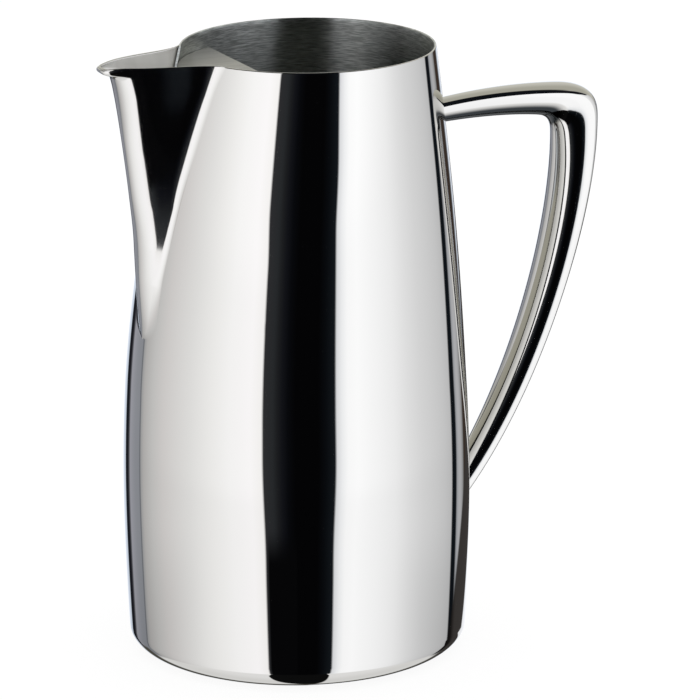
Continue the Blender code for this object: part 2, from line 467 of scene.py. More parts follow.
def bezier(handles, steps):
    """Points on a Bezier curve of any degree."""
    t = np.linspace(0, 1, steps + 1)[:, None]
    rows = [np.ones_like(t) * np.asarray(handle, float) for handle in handles]
    while len(rows) > 1:
        rows = [(1 - t) * a + t * b for a, b in zip(rows, rows[1:])]
    return rows[0]


def spout_half(z):
    """Half of the spout's outline at one height, as (distance towards the nose, half width)."""
    radius, centre = float(body_radius(z)), float(lean(z))
    root = max(float(soft_curve(ROOT_EDGE, z)), LEAST_ROOT)
    shoulder = min(float(soft_curve(SHOULDER_EDGE, z)), SHOULDER_SHARE * root)
    front = min(float(soft_curve(NOSE_EDGE, z)), NOSE_SHARE * shoulder)
    across = math.sqrt(radius**2 - root**2)
    start = np.array((across - centre, root))
    reach = (root - shoulder) * radius / across
    bend = start + reach * np.array((root, -across)) / radius
    nose = max(float(soft_curve(NOSE_PROFILE, z)), radius - centre)
    corner = np.array((nose, front))
    length = float(np.linalg.norm(corner - bend))
    along = (corner - bend) / max(length, TINY)
    run = min(SHOULDER_RUN * reach, RUN_SHARE * length)
    first, last = bend + along * run, bend + along * CHEEK_SHARE * length
    outline = np.concatenate(
        [
            bezier((start, bend, first), BEND_STEPS),
            np.linspace(first, last, CHEEK_STEPS + 1)[1:],
            bezier((last, corner, (nose, NOSE_ROUNDING * front), (nose, 0.0)), NOSE_STEPS)[1:],
        ]
    )
    outline[:, 0] += float(soft_curve(LIP_CURL, max(z, LIP_START))) * lip_share(outline[:, 1])
    sink = start / np.linalg.norm(start + np.array((centre, 0.0))) * ROOT_DEPTH
    return np.concatenate([[start - sink], outline])


def lip_share(width):
    """1 at the nose, fading to 0 where the lip's curl ends."""
    share = np.clip((LIP_END - np.abs(width)) / (LIP_END - LIP_FULL), 0, 1)
    return share * share * (3 - 2 * share)


def spout_outline(z):
    """The spout's outline at one height, from its root on one side to its root on the other."""
    half = spout_half(z)
    return np.concatenate([half, half[-2::-1] * (1, -1)])


def sheet_inside(outline, depth):
    """The outline moved towards the body's axis by a depth for each point."""
    along = np.gradient(outline, axis=0)
    along /= np.maximum(np.linalg.norm(along, axis=1)[:, None], TINY)
    return outline + depth[:, None] * np.stack([along[:, 1], -along[:, 0]], axis=1)


def spout_depths(count):
    """Sheet thickness along the outline: nothing where it melts into the body."""
    half = np.ones(count // 2 + 1)
    half[: BEND_STEPS + 2] = np.linspace(0, 1, BEND_STEPS + 2) ** THINNING_POWER
    return SPOUT_SHEET * np.concatenate([half, half[-2::-1]])


def make_spout(polished, satin):
    """The folded sheet: up its outside, over the round top edge and down its inside."""
    climb = np.linspace(0, 1, SPOUT_ROWS) ** ROW_POWER
    below_lip = SPOUT_START + (LIP_START - SPOUT_START) * climb
    heights = np.concatenate([below_lip, np.linspace(LIP_START, HEIGHT, LIP_ROWS)[1:]])
    outlines = np.array([spout_outline(z) for z in heights])
    depth = spout_depths(outlines.shape[1])
    insides = np.array([sheet_inside(outline, depth) for outline in outlines])
    dip = LIP_DIP * lip_share(outlines[-1][:, 1])
    bend = np.clip((heights - LIP_START) / (HEIGHT - LIP_START), 0, 1)[:, None]
    edge_z = HEIGHT - dip - depth / 2
    z = np.minimum(heights[:, None] - dip * bend, edge_z)
    outside = np.stack([-outlines[..., 0], outlines[..., 1], z], axis=-1)
    inside = np.stack([-insides[..., 0], insides[..., 1], z], axis=-1)
    middle, arm = (outside[-1] + inside[-1]) / 2, (outside[-1] - inside[-1]) / 2
    edge = []
    for angle in np.linspace(0, math.pi, RIM_ROWS + 2)[1:-1]:
        row = middle + arm * math.cos(angle)
        row[:, 2] = edge_z + depth / 2 * math.sin(angle)
        edge.append(row)
    points = np.concatenate([outside, edge, inside[::-1]])
    rows, columns = points.shape[:2]
    faces = grid_faces(rows, columns, wrap_rows=True)
    first_inside = len(outside) + len(edge)
    slots = [int(first_inside <= face[0] // columns < rows - 1) for face in faces]
    sides = side_faces(rows, columns)
    faces += sides
    slots += [0] * len(sides)
    piece = new_piece("spout_welded", points.reshape(-1, 3), faces, [polished, satin], slots)
    as_the_cad(piece, "polished_steel", "spout")


# ---------------------------------------------------------------- ice guard


def make_guard(satin):
    """A flat plate that follows the wall and ends in a straight edge, with soft edges."""
    radius = float(body_radius(GUARD_TOP)) - WALL - GAP
    centre = float(lean(GUARD_TOP))
    half_angle = math.acos((GUARD_EDGE + centre) / radius)
    angles = np.linspace(math.pi - half_angle, math.pi + half_angle, GUARD_STEPS)
    outline = [(centre + radius * math.cos(a), radius * math.sin(a)) for a in angles]
    plate = bmesh.new()
    top = plate.faces.new([plate.verts.new((x, y, GUARD_TOP)) for x, y in outline])
    lower = bmesh.ops.extrude_face_region(plate, geom=[top])["geom"]
    for vertex in (item for item in lower if isinstance(item, bmesh.types.BMVert)):
        vertex.co.z -= GUARD_THICKNESS
    level = [edge for edge in plate.edges if is_level(edge)]
    bmesh.ops.bevel(
        plate,
        geom=level,
        offset=GUARD_ROUNDING,
        segments=GUARD_ROUNDING_STEPS,
        profile=0.5,
        affect="EDGES",
    )
    bmesh.ops.recalc_face_normals(plate, faces=plate.faces)
    mesh = bpy.data.meshes.new("ice_guard_plate")
    plate.to_mesh(mesh)
    plate.free()
    mesh.materials.append(satin)
    mesh.shade_smooth()
    mesh.set_sharp_from_angle(angle=PLATE_SHARP_ANGLE)
    as_the_cad(link("ice_guard_plate", mesh), "satin_steel", "ice_guard")


def is_level(edge):
    """Whether both ends of the edge are at one height."""
    first, second = edge.verts
    return abs(first.co.z - second.co.z) < GUARD_THICKNESS / 2


# ---------------------------------------------------------------- handle


def loop_line(curves):
    """Dense points along one side of the loop, smoothed where its curves meet."""
    points = []
    for handles, steps in zip(curves, CURVE_STEPS):
        a, b, c, d = (np.array(handle) for handle in handles)
        t = np.linspace(0, 1, steps, endpoint=False)[:, None]
        ends = (1 - t) ** 3 * a + t**3 * d
        points.append(ends + 3 * t * (1 - t) ** 2 * b + 3 * t * t * (1 - t) * c)
    line = np.concatenate(points + [[np.array(curves[-1][-1])]])
    for _ in range(CURVE_SMOOTHING):
        line[1:-1] = (line[:-2] + 2 * line[1:-1] + line[2:]) / 4
    return line


def section_ring():
    """The oval section as (share of the half width, share of the depth), all the way round.

    The crown half is cut a little before it stands upright, so it meets the belly in a crease.
    """
    power = 2 / SECTION_POWER
    ring = []
    for half, far, cut in ((1, 0.0, CREASE), (-1, 1.0, 0.0)):
        least, most = math.sin(cut) ** power, math.cos(cut) ** power
        for step in range(SECTION_STEPS):
            angle = cut + (math.pi - 2 * cut) * step / SECTION_STEPS
            side = math.copysign(abs(math.cos(angle)) ** power, math.cos(angle)) / most
            rise = (math.sin(angle) ** power - least) / (1 - least)
            ring.append((half * side, SEAM_SHARE + (far - SEAM_SHARE) * rise))
    return np.array(ring)


def handle_grid():
    """Points of the whole loop, as rows of closed sections, from the upper end to the lower."""
    crown, belly = loop_line(CROWN_CURVES), loop_line(BELLY_CURVES)
    lengths = np.linalg.norm(np.diff(crown, axis=0), axis=1)
    shares = np.concatenate([[0], np.cumsum(lengths)]) / lengths.sum()
    width = spline(HANDLE_WIDTHS, shares)
    ring = section_ring()
    across = ring[None, :, 0] * width[:, None] / 2
    flat = crown[:, None, :] + ring[None, :, 1, None] * (belly - crown)[:, None, :]
    return np.stack([flat[..., 0], across, flat[..., 1]], axis=-1)


def outside_body(points):
    """Distance of points from the body's outer surface, positive outside it."""
    x, y, z = points[..., 0], points[..., 1], points[..., 2]
    return np.hypot(x - lean(z), y) - body_radius(z)


def trimmed(grid):
    """The grid with each of its lines resampled from the body's surface to the body's surface."""
    end = WELD_ROWS_REACH * (np.arange(WELD_STEPS + 1) / WELD_STEPS) ** WELD_ROW_POWER
    lines = []
    for column in range(grid.shape[1]):
        line = grid[:, column]
        steps = np.linalg.norm(np.diff(line, axis=0), axis=1)
        reach = np.concatenate([[0], np.cumsum(steps)])
        gap = outside_body(line) + END_DEPTH
        out = np.where(gap > 0)[0]
        first, last = out[0], out[-1]
        start = np.interp(0, gap[first - 1 : first + 1], reach[first - 1 : first + 1])
        stop = reach[-1]
        if last + 1 < len(line):
            stop = np.interp(0, gap[[last + 1, last]], reach[[last + 1, last]])
        middle = np.linspace(start + WELD_ROWS_REACH, stop - WELD_ROWS_REACH, HANDLE_ROWS)[1:-1]
        places = np.concatenate([start + end, middle, (stop - end)[::-1]])
        lines.append(np.stack([np.interp(places, reach, line[:, k]) for k in range(3)], axis=-1))
    return np.stack(lines, axis=1)


def grid_normals(grid, closed=True):
    """Outward unit normals of a grid, whose rows are closed rings or halves of them."""
    along = np.gradient(grid, axis=0)
    around = np.gradient(grid, axis=1)
    if closed:
        around = (np.roll(grid, -1, axis=1) - np.roll(grid, 1, axis=1)) / 2
    normal = np.cross(around, along)
    normal /= np.maximum(np.linalg.norm(normal, axis=-1, keepdims=True), TINY)
    centre = grid.mean(axis=1, keepdims=True)
    flip = np.sign(((grid - centre) * normal).sum(axis=(1, 2)))
    return normal * flip[:, None, None]


def welded(grid):
    """The grid with a small round fillet at both ends."""
    normal = grid_normals(grid)
    gap = np.clip(outside_body(grid), 0, None)
    rise = np.clip(1 - gap / WELD_RADIUS, 0, 1)
    flare = WELD_RADIUS * (1 - np.sqrt(1 - rise**2 * WELD_REACH))
    return grid + normal * flare[..., None]


def make_handle_half(name, node, outer, material):
    """One pressed half: its outside skin, and an inside skin one wall's thickness in."""
    normals = grid_normals(outer, closed=False)
    inner = outer - normals * HANDLE_WALL
    rows, count = outer.shape[:2]
    points = np.concatenate([outer.reshape(-1, 3), inner.reshape(-1, 3)])
    size = rows * count
    faces = grid_faces(rows, count) + grid_faces(rows, count, start=size)
    for column in (0, count - 1):
        for row in range(rows - 1):
            low, high = row * count + column, (row + 1) * count + column
            faces.append([low, high, high + size, low + size])
    for row in (0, rows - 1):
        for column in range(count - 1):
            low = row * count + column
            faces.append([low, low + 1, low + 1 + size, low + size])
    piece = new_piece(name, points, faces, [material])
    set_normals(piece, outer.reshape(-1, 3), normals.reshape(-1, 3))
    as_the_cad(piece, "polished_steel", node)


def set_normals(piece, places, normals):
    """Gives the outer faces' corners at these places these normals."""
    mesh = piece.data
    known = {}
    for place, normal in zip(places.tolist(), normals.tolist()):
        known[tuple(np.round(place, PLACE_DIGITS))] = normal
    corner = np.zeros(len(mesh.loops) * 3, np.float32)
    mesh.corner_normals.foreach_get("vector", corner)
    corner = corner.reshape(-1, 3)
    for polygon in mesh.polygons:
        keys = [tuple(np.round(mesh.vertices[v].co, PLACE_DIGITS)) for v in polygon.vertices]
        if not all(key in known for key in keys):
            continue
        for loop, key in zip(polygon.loop_indices, keys):
            faces_out = np.dot(known[key], polygon.normal) > 0.5
            if faces_out:
                corner[loop] = known[key]
    mesh.normals_split_custom_set(corner.tolist())


def make_handle(crown, grip):
    """The two pressed halves, split along the creases of the section."""
    grid = welded(trimmed(handle_grid()))
    outer = grid[:, : SECTION_STEPS + 1]
    inner = np.concatenate([grid[:, SECTION_STEPS:], grid[:, :1]], axis=1)
    make_handle_half("handle_crown_half", "handle_outer_shell", outer, crown)
    make_handle_half("handle_belly_half", "handle_inner_shell", inner, grip)


# ---------------------------------------------------------------- materials

# Colour of bare steel.
STEEL = (0.65, 0.64, 0.61, 1)

# Polish: the least and most roughness of each polished piece.
MIRROR_POLISH = (0.016, 0.030)
CROWN_POLISH = (0.030, 0.050)
GRIP_POLISH = (0.050, 0.065)
SPOUT_POLISH = (0.065, 0.085)

# Marks in the polish, by how many there are to a metre, and the depth of its waves in metres.
# A range says which part of a noise's values the marks run over.
WAVES = 34.0
WAVE_STRETCH = (1, 1, 0.6)
WAVE_DEPTH = 0.000018
RIPPLES = 120.0
RIPPLE_SHARE = 0.02
HAZE = 55.0
HAZE_RANGE = (0.35, 0.75)
HAIRLINES = 900.0
HAIRLINE_STRETCH = (1, 1, 0.04)
HAIRLINE_RANGE = (0.62, 0.80)
HAIRLINE_ROUGHNESS = 0.012

# Shade under the handle's arm: how far down the surface faces, where it starts below the top of
# the handle, and over how much height.
ARM_FACING = (-0.23, -0.46)
ARM_DEPTH = 0.024
ARM_FADE = 0.006
ARM_SHADE = (0.035, 0.040, 0.044, 1)

# Brushed and satin steel. A stretch is how many lines there are to a metre along X, Y and Z, or
# along the radius and Z where the lines run round.
BRUSH_RANGE = (0.3, 0.7)
BRUSH_DEPTH = 0.000004
BRUSH_BROAD_SHARE = 0.23
BRUSH_DARKER = 0.86
BRUSH_SPREAD = 0.15
SATIN_STRETCH = (30, 1400, 30)
SATIN_ROUGHNESS = 0.34
SATIN_METALLIC = 0.5
SATIN_SPECULAR = 0.2
SPOUT_SATIN = (0.83, 0.82, 0.785, 1)
GUARD_SATIN = (0.39, 0.385, 0.355, 1)
SPUN_COLOUR = (0.62, 0.62, 0.61, 1)
SPUN_ROUGHNESS = 0.28
SPUN_STRETCH = (1400, 60, 1)

# The inside of the body.
INSIDE_FINE = (260, 260, 4200)
INSIDE_BROAD = (120, 120, 1500)
INSIDE_BROAD_SHARE = 0.5
INSIDE_DEPTH = 0.000006
INSIDE_LINES = (0.38, 0.62)
INSIDE_BANDS = (0.2, 0.8, 0.6, 1.0)
INSIDE_ROUGHNESS = (0.31, 0.38)
INSIDE_DARK = (0.45, 0.47, 0.45, 1)
INSIDE_PALE = (0.88, 0.90, 0.87, 1)
INSIDE_ANISOTROPY = 0.97
QUARTER_TURN = 0.25


def srgb(red, green, blue):
    """A linear colour from display values of 0 to 255."""
    linear = []
    for value in (red, green, blue):
        share = value / 255
        linear.append(((share + 0.055) / 1.055) ** 2.4 if share > 0.04045 else share / 12.92)
    return (*linear, 1.0)


class Nodes:
    """Adds nodes to a tree and links them."""

    def __init__(self, tree):
        self.tree = tree

    def add(self, kind, inputs=None, **settings):
        """A new node, with values or links for its inputs."""
        node = self.tree.nodes.new(kind)
        for key, value in settings.items():
            setattr(node, key, value)
        for key, value in (inputs or {}).items():
            self.put(value, node.inputs[key])
        return node

    def put(self, value, socket):
        """Links an output to the socket, or sets a plain value on it."""
        if isinstance(value, bpy.types.NodeSocket):
            self.tree.links.new(value, socket)
        else:
            socket.default_value = value

    def math(self, operation, a, b=0.0):
        return self.add("ShaderNodeMath", {0: a, 1: b}, operation=operation).outputs[0]

    def product(self, *values):
        return reduce(lambda a, b: self.math("MULTIPLY", a, b), values)

    def total(self, *values):
        return reduce(lambda a, b: self.math("ADD", a, b), values)

    def less(self, a, b):
        return self.math("SUBTRACT", a, b)

    def split(self, vector):
        return self.add("ShaderNodeSeparateXYZ", {0: vector}).outputs

    def ramp(self, value, low, high, to_low=0.0, to_high=1.0):
        """A smooth step of the value from low to high."""
        ends = {"From Min": low, "From Max": high, "To Min": to_low, "To Max": to_high}
        inputs = {"Value": value, **ends}
        return self.add("ShaderNodeMapRange", inputs, interpolation_type="SMOOTHSTEP").outputs[0]

    def noise(self, place, scale, detail=2.0, stretch=(1, 1, 1)):
        moved = self.add("ShaderNodeMapping", {"Vector": place, "Scale": stretch}).outputs[0]
        inputs = {"Vector": moved, "Scale": scale, "Detail": detail}
        return self.add("ShaderNodeTexNoise", inputs).outputs["Fac"]

    def bump(self, height, depth):
        """The normal of a relief with this depth."""
        inputs = {"Strength": 1.0, "Distance": depth, "Height": height}
        return self.add("ShaderNodeBump", inputs).outputs[0]

    def mix(self, share, a, b):
        """Goes from a to b as the share goes from 0 to 1."""
        node = self.add("ShaderNodeMix", data_type="RGBA")
        sockets = {socket.identifier: socket for socket in node.inputs}
        self.put(share, sockets["Factor_Float"])
        self.put(a, sockets["A_Color"])
        self.put(b, sockets["B_Color"])
        return next(socket for socket in node.outputs if socket.identifier == "Result_Color")


def metal(name, colour):
    """A plain metal: its material, nodes and shader, and the place on the object."""
    material = bpy.data.materials.new(name)
    material.use_nodes = True
    nodes = Nodes(material.node_tree)
    shader = material.node_tree.nodes["Principled BSDF"]
    nodes.put(colour, shader.inputs["Base Color"])
    nodes.put(1.0, shader.inputs["Metallic"])
    place = nodes.add("ShaderNodeTexCoord").outputs["Object"]
    return material, nodes, shader, place


def polished_steel(name, least, most):
    """Polish: long soft waves in the sheet, faint haze and hairline wiping marks."""
    material, nodes, shader, place = metal(name, STEEL)
    waves = nodes.noise(place, WAVES, detail=1.0, stretch=WAVE_STRETCH)
    ripple = nodes.noise(place, RIPPLES, detail=1.0)
    height = nodes.total(waves, nodes.product(ripple, RIPPLE_SHARE))
    nodes.put(nodes.bump(height, WAVE_DEPTH), shader.inputs["Normal"])
    haze = nodes.noise(place, HAZE, detail=4.0)
    hairline = nodes.noise(place, HAIRLINES, detail=2.0, stretch=HAIRLINE_STRETCH)
    marks = nodes.ramp(hairline, *HAIRLINE_RANGE, 0.0, HAIRLINE_ROUGHNESS)
    rough = nodes.total(nodes.ramp(haze, *HAZE_RANGE, least, most), marks)
    nodes.put(rough, shader.inputs["Roughness"])
    return material


def shade_arm(material):
    """Lets the underside of the handle's arm go dark, as it does close over the grip."""
    nodes = Nodes(material.node_tree)
    shader = material.node_tree.nodes["Principled BSDF"]
    rise = nodes.split(nodes.add("ShaderNodeTexCoord").outputs["Object"])[2]
    facing = nodes.split(nodes.add("ShaderNodeNewGeometry").outputs["Normal"])[2]
    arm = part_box("handle_inner_shell")[1].z - ARM_DEPTH
    high = nodes.ramp(rise, arm, arm + ARM_FADE)
    share = nodes.product(nodes.ramp(facing, *ARM_FACING), high)
    nodes.put(nodes.mix(share, STEEL, ARM_SHADE), shader.inputs["Base Color"])


def brushed_steel(name, colour, roughness, stretch, round_lines=False):
    """Fine parallel lines, straight or round the axis."""
    material, nodes, shader, place = metal(name, colour)
    if round_lines:
        x, y, z = nodes.split(place)
        squares = nodes.total(nodes.math("POWER", x, 2.0), nodes.math("POWER", y, 2.0))
        reach = nodes.math("SQRT", squares)
        place = nodes.add("ShaderNodeCombineXYZ", {0: reach, 1: z}).outputs[0]
    fine = nodes.noise(place, 1.0, detail=3.0, stretch=stretch)
    broad_stretch = tuple(lines * BRUSH_BROAD_SHARE for lines in stretch)
    broad = nodes.noise(place, 1.0, detail=2.0, stretch=broad_stretch)
    nodes.put(nodes.bump(nodes.total(fine, broad), BRUSH_DEPTH), shader.inputs["Normal"])
    least, most = roughness * (1 - BRUSH_SPREAD), roughness * (1 + BRUSH_SPREAD)
    nodes.put(nodes.ramp(fine, *BRUSH_RANGE, least, most), shader.inputs["Roughness"])
    dark = (*(BRUSH_DARKER * part for part in colour[:3]), 1.0)
    nodes.put(nodes.mix(nodes.ramp(broad, *BRUSH_RANGE), dark, colour), shader.inputs["Base Color"])
    return material


def satin_steel(name, colour):
    """The dull grained steel of the guard and of the spout's inside."""
    material = brushed_steel(name, colour, SATIN_ROUGHNESS, SATIN_STRETCH)
    shader = material.node_tree.nodes["Principled BSDF"]
    shader.inputs["Metallic"].default_value = SATIN_METALLIC
    shader.inputs["Specular IOR Level"].default_value = SATIN_SPECULAR
    return material


def inside_steel():
    """The unpolished inside: fine lines round the wall, so light spreads up and down."""
    material, nodes, shader, place = metal("inside_brushed", STEEL)
    fine = nodes.noise(place, 1.0, detail=3.0, stretch=INSIDE_FINE)
    broad = nodes.noise(place, 1.0, detail=2.0, stretch=INSIDE_BROAD)
    height = nodes.total(fine, nodes.product(broad, INSIDE_BROAD_SHARE))
    nodes.put(nodes.bump(height, INSIDE_DEPTH), shader.inputs["Normal"])
    nodes.put(nodes.ramp(fine, *BRUSH_RANGE, *INSIDE_ROUGHNESS), shader.inputs["Roughness"])
    lines = nodes.product(nodes.ramp(fine, *INSIDE_LINES), nodes.ramp(broad, *INSIDE_BANDS))
    nodes.put(nodes.mix(lines, INSIDE_DARK, INSIDE_PALE), shader.inputs["Base Color"])
    nodes.put(INSIDE_ANISOTROPY, shader.inputs["Anisotropic"])
    nodes.put(QUARTER_TURN, shader.inputs["Anisotropic Rotation"])
    tangent = nodes.add("ShaderNodeTangent", direction_type="RADIAL", axis="Z")
    nodes.put(tangent.outputs[0], shader.inputs["Tangent"])
    return material


# ---------------------------------------------------------------- studio

# What the polished steel reflects, by direction from the object: azimuth in degrees from the
# camera, positive to its right, and height in degrees above level. A pair says where a zone
# starts to show and where it is full, and a row of four adds the values there. Tones are display
# values of 0 to 255.
DEGREES = 180 / math.pi

# The ring of panels, by azimuth: its left half and its right half.
LEFT_PANELS = (
    (-180, (206, 211, 216)),
    (-171, (206, 210, 215)),
    (-165, (184, 190, 199)),
    (-159, (180, 188, 197)),
    (-157.5, (24, 25, 29)),
    (-150.5, (24, 25, 29)),
    (-147.5, (80, 80, 84)),
    (-145.5, (143, 143, 149)),
    (-135, (132, 134, 139)),
    (-128.5, (130, 132, 137)),
    (-127.3, (90, 93, 98)),
    (-125.8, (150, 150, 150)),
    (-122, (170, 168, 166)),
    (-111, (188, 187, 185)),
    (-99, (202, 199, 197)),
    (-75, (219, 218, 216)),
    (-57, (234, 233, 231)),
    (-45, (242, 241, 240)),
    (-30, (247, 245, 245)),
    (-22.2, (241, 239, 237)),
    (-21.3, (44, 44, 46)),
    (-15, (38, 40, 42)),
    (-12, (28, 29, 31)),
    (-9, (18, 19, 23)),
    (-5, (8, 9, 12)),
    (0, (4, 4, 5)),
)
RIGHT_PANELS = (
    (0, (4, 4, 5)),
    (15, (4, 4, 5)),
    (20, (9, 11, 14)),
    (26.4, (19, 23, 27)),
    (27.2, (212, 213, 215)),
    (31, (234, 235, 236)),
    (35, (247, 247, 247)),
    (42, (250, 250, 250)),
    (57, (242, 242, 242)),
    (69, (234, 234, 234)),
    (81, (221, 221, 221)),
    (93, (210, 210, 210)),
    (105, (202, 202, 202)),
    (117, (193, 193, 193)),
    (126.3, (182, 182, 182)),
    (127.6, (14, 18, 22)),
    (133.4, (14, 18, 22)),
    (135.2, (147, 149, 152)),
    (139, (166, 166, 167)),
    (143, (158, 158, 159)),
    (147, (124, 124, 123)),
    (149.2, (54, 45, 39)),
    (157.5, (48, 40, 35)),
    (160, (92, 94, 96)),
    (162.5, (170, 176, 182)),
    (166, (200, 204, 210)),
    (180, (210, 214, 219)),
)

# The panels nearest the camera are narrower low down and wider high up, by these shares, and all
# the panels are a little darker low down.
NARROWING = ((-12, -20, 0.0, 0.08), (-20, -27, 0.0, 0.04), (2, 6, 0.0, -0.06))
NARROWED_SIDES = (70, 35)
LOW_LEVEL = (-16, -14, 0.97, 1.0)
HIGH_LEVEL = (-1, 4, 0.0, 0.03)
DUSK_SIDES = (50, 125)
DUSK_LEVEL = (-17.5, -22.0, 0.0, 0.16)

# The left half of the dark gap ahead, which goes black low down.
GAP_LEFT, GAP_RIGHT = (-21, -19), (1, 0)
GAP_LOW = (-17, -20)
GAP_TONE = (6, 6, 7)

# The wall behind the object.
WALL_SIDES = (122, 136)
WALL_SPREAD = (8, 50, 0.0, 25.0)
WALL_FOOT = (2, 7)
WALL_FADE = (15, 40)
WALL_LOW_TONE = (180, 178, 167)
WALL_HIGH_TONE = (162, 160, 148)

# The ceiling: lowest ahead, higher at the sides and highest behind. On the left it slopes down.
AHEAD_LEFT, AHEAD_RIGHT = (-22, -21), (28, 27)
CEILING_AHEAD = (12, 16)
CEILING_SIDES = (31, 35)
CEILING_SLOPE = (-28, -100, 0.0, 22.0)
CEILING_BEHIND = (58, 63)
CEILING_TONE = (13, 15, 19)

# The ground, and the object's own shadow on it: a wedge of directions that widens to the front.
GROUND_EDGE = (-34, -40)
GROUND_FADE = (-0.5, 0.3)
GROUND_NEAR_TONE = (217, 216, 214)
GROUND_FAR_TONE = (203, 202, 199)
SHADOW_CENTRE = 0.017
SHADOW_REACH = 0.151
SHADOW_SPREAD = 0.217
SHADOW_MOST = 0.285
SHADOW_EDGE = (-0.006, 0.006)
SHADOW_TONE = (12, 12, 12)

# The ground is dark far behind the object, which shows as a line along the foot.
BACK_HEIGHT = (-25, -30)
BACK_DISTANCE = (0.56, 0.68)
BACK_TONE = (66, 64, 57)

# Low on the far right: a dark corner with a sloping top, and a pale wedge. The wedge's point is at
# WEDGE_HEIGHT, and its edges run to the right from there, upwards and downwards.
CORNER_LEFT = (124.5, 126)
CORNER_SLOPE = 0.2
CORNER_TOP = (-46.4, -47.0)
CORNER_FOOT = (-41, -32)
CORNER_FADE = (130, 139)
CORNER_NEAR_TONE = (17, 16, 15)
CORNER_FAR_TONE = (51, 48, 46)
WEDGE_HEIGHT = -20.8
WEDGE_SLOPES = (7.5, -2.3)
WEDGE_LEFT = (147, 149)
WEDGE_TONE = (214, 214, 214)

Way = namedtuple("Way", "x y azimuth side height")


def looked_up(nodes):
    """The direction that is looked up, turned so that the camera stands at -Y."""
    way = nodes.add("ShaderNodeTexCoord").outputs["Generated"]
    turn = {"Vector": way, "Angle": -math.radians(CAMERA_AZIMUTH)}
    turned = nodes.add("ShaderNodeVectorRotate", turn, rotation_type="Z_AXIS").outputs[0]
    x, y, z = nodes.split(turned)
    azimuth = nodes.product(nodes.math("ARCTAN2", x, nodes.product(y, -1.0)), DEGREES)
    height = nodes.product(nodes.math("ARCSINE", z), DEGREES)
    side = nodes.math("ABSOLUTE", azimuth)
    narrower = nodes.total(*(nodes.ramp(height, *step) for step in NARROWING))
    narrower = nodes.product(narrower, nodes.ramp(side, *NARROWED_SIDES))
    azimuth = nodes.product(azimuth, nodes.total(narrower, 1.0))
    return Way(x, y, azimuth, side, height)


def half_ring(nodes, azimuth, panels):
    """Colour by azimuth over half of the ring."""
    start, end = panels[0][0], panels[-1][0]
    inputs = {"Value": azimuth, "From Min": start, "From Max": end}
    share = nodes.add("ShaderNodeMapRange", inputs).outputs[0]
    ramp = nodes.add("ShaderNodeValToRGB", {"Fac": share})
    stops = ramp.color_ramp.elements
    stops[0].color = srgb(*panels[0][1])
    stops[1].color = srgb(*panels[-1][1])
    for angle, tone in panels[1:-1]:
        stops.new((angle - start) / (end - start)).color = srgb(*tone)
    return ramp.outputs["Color"]


def panel_ring(nodes, way):
    """The panels all round, and the darkest part of the gap ahead."""
    left = half_ring(nodes, way.azimuth, LEFT_PANELS)
    right = half_ring(nodes, way.azimuth, RIGHT_PANELS)
    ring = nodes.mix(nodes.math("GREATER_THAN", way.azimuth, 0.0), left, right)
    level = nodes.total(nodes.ramp(way.height, *LOW_LEVEL), nodes.ramp(way.height, *HIGH_LEVEL))
    dusk = nodes.product(nodes.ramp(way.side, *DUSK_SIDES), nodes.ramp(way.height, *DUSK_LEVEL))
    inputs = {0: ring, "Scale": nodes.less(level, dusk)}
    ring = nodes.add("ShaderNodeVectorMath", inputs, operation="SCALE").outputs[0]
    gap = nodes.product(
        nodes.ramp(way.azimuth, *GAP_LEFT),
        nodes.ramp(way.azimuth, *GAP_RIGHT),
        nodes.ramp(way.height, *GAP_LOW),
    )
    return nodes.mix(gap, ring, srgb(*GAP_TONE))


def with_ceiling(nodes, way, colour):
    """Adds the beige wall behind the object and the dark ceiling."""
    spread = nodes.ramp(way.height, *WALL_SPREAD)
    behind = nodes.ramp(nodes.total(way.side, spread), *WALL_SIDES)
    low, high = srgb(*WALL_LOW_TONE), srgb(*WALL_HIGH_TONE)
    wall = nodes.mix(nodes.ramp(way.height, *WALL_FADE), low, high)
    share = nodes.product(behind, nodes.ramp(way.height, *WALL_FOOT))
    colour = nodes.mix(share, colour, wall)
    left, right = (nodes.ramp(way.azimuth, *edge) for edge in (AHEAD_LEFT, AHEAD_RIGHT))
    sloping = nodes.total(way.height, nodes.ramp(way.azimuth, *CEILING_SLOPE))
    sides = nodes.ramp(sloping, *CEILING_SIDES)
    over = nodes.mix(nodes.product(left, right), sides, nodes.ramp(way.height, *CEILING_AHEAD))
    over = nodes.mix(behind, over, nodes.ramp(way.height, *CEILING_BEHIND))
    return nodes.mix(over, colour, srgb(*CEILING_TONE))


def with_ground(nodes, way, colour):
    """Adds the pale ground, with the object's own shadow, and the dark ground far behind."""
    reach = nodes.less(SHADOW_REACH, nodes.product(way.y, SHADOW_SPREAD))
    reach = nodes.math("MINIMUM", reach, SHADOW_MOST)
    across = nodes.math("ABSOLUTE", nodes.less(way.x, SHADOW_CENTRE))
    lit = nodes.ramp(nodes.less(across, reach), *SHADOW_EDGE)
    near, far = srgb(*GROUND_NEAR_TONE), srgb(*GROUND_FAR_TONE)
    pale = nodes.mix(nodes.ramp(way.y, *GROUND_FADE), near, far)
    ground = nodes.mix(lit, srgb(*SHADOW_TONE), pale)
    colour = nodes.mix(nodes.ramp(way.height, *GROUND_EDGE), colour, ground)
    back = nodes.product(
        nodes.ramp(way.height, *BACK_HEIGHT),
        nodes.ramp(way.y, *BACK_DISTANCE),
    )
    return nodes.mix(back, colour, srgb(*BACK_TONE))


